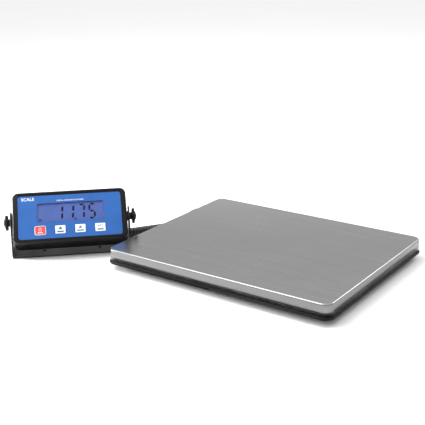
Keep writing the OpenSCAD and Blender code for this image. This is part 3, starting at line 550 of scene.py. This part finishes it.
def soften(bm, height, amount, steps=3):
    """Rounds the rim of a plate at one height."""
    rim = [e for e in bm.edges if all(abs(v.co.z - height) < 1e-4 for v in e.verts)]
    bmesh.ops.bevel(bm, geom=rim, offset=amount, offset_type="OFFSET", segments=steps, profile=0.5,
                    affect="EDGES", material=-1)
    return bm


# The pan's skirt gets painted shade: side=0.52 mixes about half of near black into its upright faces.
stainless = brushed("brushed_stainless", (0.33, 0.33, 0.33), (0.49, 0.49, 0.485), 0.13, 0.25, 5.0, 1300.0,
                    0.000003, 0.2, side=0.52)
skirt_low, notch_r, notch = 14.5, 4, Vector((-175, 115, 14.5))
sheet = soften(rounded_plate(350, 280, 13, skirt_low, 31, 12), 31, 2.5, 6)
bmesh.ops.delete(sheet, geom=[f for f in sheet.faces if f.calc_center_median().z < skirt_low + 0.01],
                 context="FACES")
arch = [Vector((0, math.cos(math.radians(a)), math.sin(math.radians(a)))) for a in range(0, 181, 20)]
for way in arch:
    side = [f for f in sheet.faces if f.calc_center_median().x < -174]
    parts = list(dict.fromkeys(part for f in side for part in (*f.edges, *f.verts)))
    bmesh.ops.bisect_plane(sheet, geom=[*side, *parts], plane_co=notch + notch_r * way, plane_no=way)
inside_arch = [f for f in sheet.faces if f.calc_center_median().x < -174
               and all((f.calc_center_median() - notch).dot(way) < notch_r for way in arch)]
bmesh.ops.delete(sheet, geom=inside_arch, context="FACES")
pan = make_piece("stainless_pan", sheet, on_platform, stainless, "pan", ["pan"], 50)
thickness = pan.modifiers.new("sheet_thickness", "SOLIDIFY")
thickness.thickness, thickness.offset = 0.0012, -1

# ---- Bracket ----
# One strip of sheet steel bent into a wide U, punched for two screws and the tilt knobs, then
# powder-coated dark grey.
powder_coat = skinned("powder_coat", (0.021, 0.021, 0.022), 0.5, (0.16, 0.16, 0.16), size=1300.0,
                      depth=0.00005, wear_amount=0.35, dust_amount=0.03, corner=0.0003,
                      Specular_IOR_Level=0.3)
dressed_copy("bracket", "bent_bracket", powder_coat, "base", round_off=0.25)
fibre = skinned("hard_fibre", (0.08, 0.07, 0.06), 0.7, (0.14, 0.12, 0.1), size=1800.0)
refinish(["arm_washers"], fibre)

# ---- Tilt knobs ----
# Black nylon knobs with six lobes, moulded round a threaded steel stud. They clamp the bracket's
# arms against the case, with a fibre washer between.
knob_nylon = skinned("knob_nylon", (0.009, 0.009, 0.009), 0.4, (0.07, 0.07, 0.07), size=2400.0,
                     depth=0.00002, wear_amount=0.4, dust_amount=0.03, Specular_IOR_Level=0.18)
for side in ("left", "right"):
    dressed_copy(f"knob_{side}", f"lobed_knob_{side}", knob_nylon, f"knob_{side}",
                 round_off=0.35)
refinish(["stud_left", "stud_right"], bright_steel)
brass = skinned("turned_brass", (0.62, 0.42, 0.14), 0.3, (0.8, 0.6, 0.3), metallic=1.0, size=1200.0)
refinish(["pivot_inserts"], brass)

# ---- Indicator case ----
# Two black moulded halves that meet just behind the face, screwed together from the back. The
# rear half holds the six cells behind a sliding door.
case_black = skinned("case_black", (0.005, 0.005, 0.0055), 0.3, (0.07, 0.07, 0.075), size=2000.0,
                     depth=0.00001, wear_amount=0.3, dust_amount=0.015, corner=0.0004,
                     Specular_IOR_Level=0.14)
dressed_copy("front_case", "case_front", case_black, "head")
dressed_copy("rear_case", "case_rear", case_black, "head")
make_piece("case_cross_screws", set_out(cross_head_screw(2.7, 2, 1.2, 22), [
    Matrix.Translation((s * 72, t * 29, -12)) @ Matrix.Rotation(math.pi, 4, "X") for s in (-1, 1)
    for t in (-1, 1)]), in_face, bright_steel, "head", ["case_screws"])
make_piece("board_cross_screws", set_out(cross_head_screw(2.2, 1.2, 0.95, 6), [
    Matrix.Translation((s * 61, t * 27, 6.3)) @ Matrix.Rotation(math.pi, 4, "X") for s in (-1, 1)
    for t in (-1, 1)]), in_face, bright_steel, "head", ["board_screws"])
refinish(["main_board"], solder_mask)

# ---- Battery door and cells ----
# A sliding door with a block of grip ribs near its lower end. Six AA cells with a printed sleeve
# lie behind it.
dressed_copy("battery_door", "sliding_door", case_black, "battery_door")
ribs = set_out(soften(rounded_plate(30, 1.1, 0.5, 0, 0.7, 4), 0.7, 0.3, 2), [
    Matrix.Translation((0, -21 + 2.2 * i, -15)) @ Matrix.Rotation(math.pi, 4, "X") for i in range(6)])
make_piece("door_grip_ribs", ribs, in_face, case_black, "battery_door")
cell_sleeve = skinned("cell_sleeve", (0.5, 0.22, 0.03), 0.35, (0.6, 0.6, 0.6), metallic=0.3, size=900.0)
refinish(["batteries"], cell_sleeve)
refinish(["battery_contacts"], bright_steel)

# ---- Power inlet ----
# Round low-voltage inlet in black nylon, let into a bore in the case's back, with a thin raised
# ring round its mouth.
refinish(["power_inlet"], gland_nylon)
ring = spun([(4.5, 0), (5.4, 0), (5.4, 0.35), (5.1, 0.6), (4.7, 0.6), (4.5, 0.4), (4.5, 0)], 40)
make_piece("inlet_ring", ring, in_face @ Matrix.Translation((62, 18, -15)) @ Matrix.Rotation(math.pi, 4, "X"),
           case_black, "head")

# ---- Display ----
# Backlit blue-violet liquid-crystal glass on a white light box, dark segments between two glass
# plates, and a clear lens bonded under the overlay's window.
white_box = skinned("white_diffuser", (0.75, 0.75, 0.73), 0.5, (0.8, 0.8, 0.8), size=800.0)
refinish(["lcd_holder"], white_box)
backlit = skinned("backlit_glass", (0.048, 0.09, 0.28), 0.3, (0.12, 0.15, 0.45), size=500.0, depth=0.000002,
                  wear_amount=0.0, dust_amount=0.0, Specular_IOR_Level=0.25)
backlit.node_tree.nodes["Principled BSDF"].inputs["Emission Color"].default_value = (0.11, 0.15, 0.5, 1)
backlit.node_tree.nodes["Principled BSDF"].inputs["Emission Strength"].default_value = 0.15
refinish(["lcd_panel"], backlit)
clear = skinned("clear_lens", (0.1, 0.14, 0.35), 0.12, (0.2, 0.3, 0.6), size=300.0, depth=0.000001,
                wear_amount=0.0, dust_amount=0.0, Coat_Weight=0.1, Coat_Roughness=0.05, Alpha=0.03)
refinish(["display_lens"], clear)
dark_segment = skinned("dark_segment", (0.004, 0.005, 0.022), 0.5, (0.01, 0.01, 0.05), size=900.0,
                       depth=0.000001, wear_amount=0.0, dust_amount=0.0, Specular_IOR_Level=0.1)


def flat_shape(outline, bottom, top):
    """A thin printed or etched shape from a few corner points."""
    bm = bmesh.new()
    bmesh.ops.contextual_create(bm, geom=[bm.verts.new((x, y, bottom)) for x, y in outline])
    up = bmesh.ops.extrude_face_region(bm, geom=bm.faces[:])["geom"]
    bmesh.ops.translate(bm, vec=(0, 0, top - bottom),
                        verts=[v for v in up if isinstance(v, bmesh.types.BMVert)])
    bmesh.ops.recalc_face_normals(bm, faces=bm.faces[:])
    return bm


def gathered(shapes):
    """Several shapes as one."""
    whole = bmesh.new()
    for shape in shapes:
        single = bpy.data.meshes.new("single")
        shape.to_mesh(single)
        shape.free()
        whole.from_mesh(single)
        bpy.data.meshes.remove(single)
    return whole


def segment(x0, y0, x1, y1):
    """One pointed bar of a digit between two corners of its figure, leaning a little."""
    half, gap = 1.55, 0.95
    along = (Vector((x1, y1)) - Vector((x0, y0))).normalized()
    across = Vector((-along.y, along.x))
    a, b = Vector((x0, y0)) + along * gap, Vector((x1, y1)) - along * gap
    points = [a, a + (along + across) * half, b + (across - along) * half, b, b - (along + across) * half,
              a + (along - across) * half]
    return flat_shape([(p.x + 0.07 * (p.y - 5.4), p.y) for p in points], 15.41, 15.47)


bars = {"a": (0, 2, 1, 2), "b": (1, 1, 1, 2), "c": (1, 0, 1, 1), "d": (0, 0, 1, 0), "e": (0, 0, 0, 1),
        "f": (0, 1, 0, 2), "g": (0, 1, 1, 1)}
digit_width, digit_half, digit_low = 8.2, 11.0, -5.6
lit = []
for right_side, lit_bars in ((-11.05, "bc"), (4.7, "bc"), (20.45, "abc"), (36.2, "afgcd")):
    for bar in lit_bars:
        x0, y0, x1, y1 = bars[bar]
        lit.append(segment(right_side - digit_width * (1 - x0), digit_low + digit_half * y0,
                           right_side - digit_width * (1 - x1), digit_low + digit_half * y1))
lit.append(flat_shape([(6.7, -7.0), (9.0, -7.0), (9.1, -4.7), (6.8, -4.7)], 15.41, 15.47))
zero_mark = spun([(1.2, 15.41), (2.05, 15.41), (2.05, 15.47), (1.2, 15.47), (1.2, 15.41)], 28)
bmesh.ops.translate(zero_mark, vec=(-42.8, -4.9, 0), verts=zero_mark.verts[:])
lit.append(zero_mark)
make_piece("display_segments", gathered(lit), in_face, dark_segment, "head")

# ---- Printed overlay ----
# Satin polyester film printed blue from behind, stuck in a shallow seat on the case's front, with
# a darker blue ring round the window that is painted shade of the window's recessed edge.
overlay_film = skinned("overlay_film", (0.023, 0.105, 0.345), 0.42, (0.1, 0.2, 0.55), size=3000.0,
                       depth=0.000006, wear_amount=0.1, dust_amount=0.0, corner=0.0001,
                       Specular_IOR_Level=0.16)
refinish(["overlay"], overlay_film)
# Painted shade: a thin darker blue ring round the window stands in for the shade cast by its recessed edge.
painted_window_shade = skinned("painted_window_shade", (0.02, 0.06, 0.3), 0.38, (0.05, 0.1, 0.4), size=3000.0, depth=0.000004,
                     wear_amount=0.0, dust_amount=0.02)
border = rounded_plate(97.8, 30.8, 3.2, 17.9, 17.94, 6)
bmesh.ops.inset_region(border, faces=[f for f in border.faces if abs(f.normal.z) > 0.9], thickness=0.9)
bmesh.ops.delete(border, geom=[f for f in border.faces if abs(f.normal.z) > 0.9 and f.calc_area() > 2000],
                 context="FACES")
make_piece("window_shade_ring", border, in_face @ Matrix.Translation((0.8, 5.6, 0)), painted_window_shade, "head")


def lettering(name, words, tall, x, y):
    """Printed capital letters of one height, centred on a point of the overlay."""
    script = bpy.data.curves.new("script", "FONT")
    script.body, script.size, script.align_x, script.align_y = words, tall / 0.7, "CENTER", "CENTER"
    script.offset, script.extrude, script.resolution_u = 0.02 * tall, 0.02, 3
    written = bpy.data.objects.new("script", script)
    bpy.context.scene.collection.objects.link(written)
    bpy.context.view_layer.update()
    letters = bpy.data.meshes.new_from_object(written.evaluated_get(bpy.context.evaluated_depsgraph_get()))
    bm = bmesh.new()
    bm.from_mesh(letters)
    for scrap, holder in ((written, bpy.data.objects), (script, bpy.data.curves), (letters, bpy.data.meshes)):
        holder.remove(scrap)
    bmesh.ops.remove_doubles(bm, verts=bm.verts[:], dist=0.0005)
    make_piece(name, bm, in_face @ Matrix.Translation((x, y, 17.92)), ink_white, "head")


ink_white = skinned("ink_white", (0.85, 0.83, 0.83), 0.4, (0.9, 0.9, 0.9), size=2500.0, depth=0.000003,
                    wear_amount=0.0, dust_amount=0.0)
lettering("overlay_title", "SCALE", 4.6, -60, 27.4)
lettering("overlay_line", "DIGITAL WEIGHING PLATFORM", 1.9, 0.9, 23.6)

# ---- Keys ----
# Four membrane keys under their own small caps: a red one with a white rim that switches on, and
# three white ones. Each has a simple printed sign, and a plunger on a tactile switch.
key_red = skinned("key_red", (0.66, 0.035, 0.03), 0.35, (0.7, 0.2, 0.2), size=2500.0, depth=0.000006,
                  wear_amount=0.1, dust_amount=0.03)
key_white = skinned("key_white", (0.74, 0.79, 0.86), 0.35, (0.8, 0.8, 0.8), size=2500.0, depth=0.000006,
                    wear_amount=0.1, dust_amount=0.03)
ink_navy = skinned("ink_navy", (0.03, 0.075, 0.19), 0.4, (0.05, 0.1, 0.2), size=2500.0, depth=0.000003,
                   wear_amount=0.0, dust_amount=0.0)
switch_black = skinned("switch_black", (0.02, 0.02, 0.02), 0.5, (0.1, 0.1, 0.1))
refinish(["key_switches"], switch_black)


def bar_sign(x, y, width, height):
    return flat_shape([(x - width / 2, y - height / 2), (x + width / 2, y - height / 2),
                       (x + width / 2, y + height / 2), (x - width / 2, y + height / 2)], 18.2, 18.24)


def ring_sign(x, y, radius, line):
    shape = spun([(radius - line, 18.2), (radius, 18.2), (radius, 18.24), (radius - line, 18.24),
                  (radius - line, 18.2)], 28)
    bmesh.ops.translate(shape, vec=(x, y, 0), verts=shape.verts[:])
    return shape


def sign_of(key):
    if key == "key_power":
        broken_ring = ring_sign(0, 1.1, 2.5, 0.6)
        gap = [f for f in broken_ring.faces if f.calc_center_median().y > 2.9]
        bmesh.ops.delete(broken_ring, geom=gap, context="FACES")
        return gathered([broken_ring, bar_sign(0, 3.1, 0.7, 2.6), bar_sign(0, -3.6, 7.4, 1.1)])
    if key == "key_units":
        body = flat_shape([(-2.6, 0), (2.6, 0), (1.7, 3.0), (-1.7, 3.0)], 18.2, 18.24)
        return gathered([body, ring_sign(0, 3.9, 1.1, 0.45), bar_sign(0, -3.3, 9.4, 2.1)])
    if key == "key_hold":
        arrow = flat_shape([(-2.9, 0.2), (2.9, 0.2), (0, 4.4)], 18.2, 18.24)
        return gathered([arrow, bar_sign(0, -3.2, 10.2, 2.0)])
    pointer = flat_shape([(-3.9, 2.4), (-1.5, 0.8), (-1.5, 4.0)], 18.2, 18.24)
    return gathered([pointer, ring_sign(1.3, 2.4, 2.0, 0.7), bar_sign(0, -3.3, 8.8, 2.0)])


for number, (key, plate_finish, sign_ink) in enumerate((("key_power", ink_white, ink_white),
                                                        ("key_units", key_white, ink_navy),
                                                        ("key_hold", key_white, ink_navy),
                                                        ("key_zero", key_white, ink_navy))):
    set_in = in_face @ Matrix.Translation((-43.4 + 28.7 * number, -21.9, 0))
    cap = soften(rounded_plate(14.6, 12.4, 1.9 if number == 0 else 0.9, 17.3, 18.2, 5), 18.2, 0.25, 2)
    stem = spun([(0, 10.4), (1.4, 10.4), (1.7, 10.7), (1.7, 12), (2.3, 12), (2.5, 12.2), (2.5, 17.3),
                 (0, 17.3)], 24)
    make_piece(f"{key}_cap", gathered([cap, stem]), set_in, plate_finish, key, [key])
    if key == "key_power":
        rim = rounded_plate(16.3, 14.2, 2.4, 17.9, 17.94, 6)
        hole = [f for f in rim.faces if abs(f.normal.z) > 0.9]
        bmesh.ops.inset_region(rim, faces=hole, thickness=0.5)
        bmesh.ops.delete(rim, geom=hole, context="FACES")
        make_piece("key_power_rim", rim, set_in, ink_white, "head")
        panel = rounded_plate(14.1, 11.9, 1.5, 18.17, 18.215, 5)
        make_piece("key_power_panel", panel, set_in, key_red, key)
        set_in = set_in @ Matrix.Translation((0, 0, 0.03))
    make_piece(f"{key}_sign", sign_of(key), set_in, sign_ink, key)
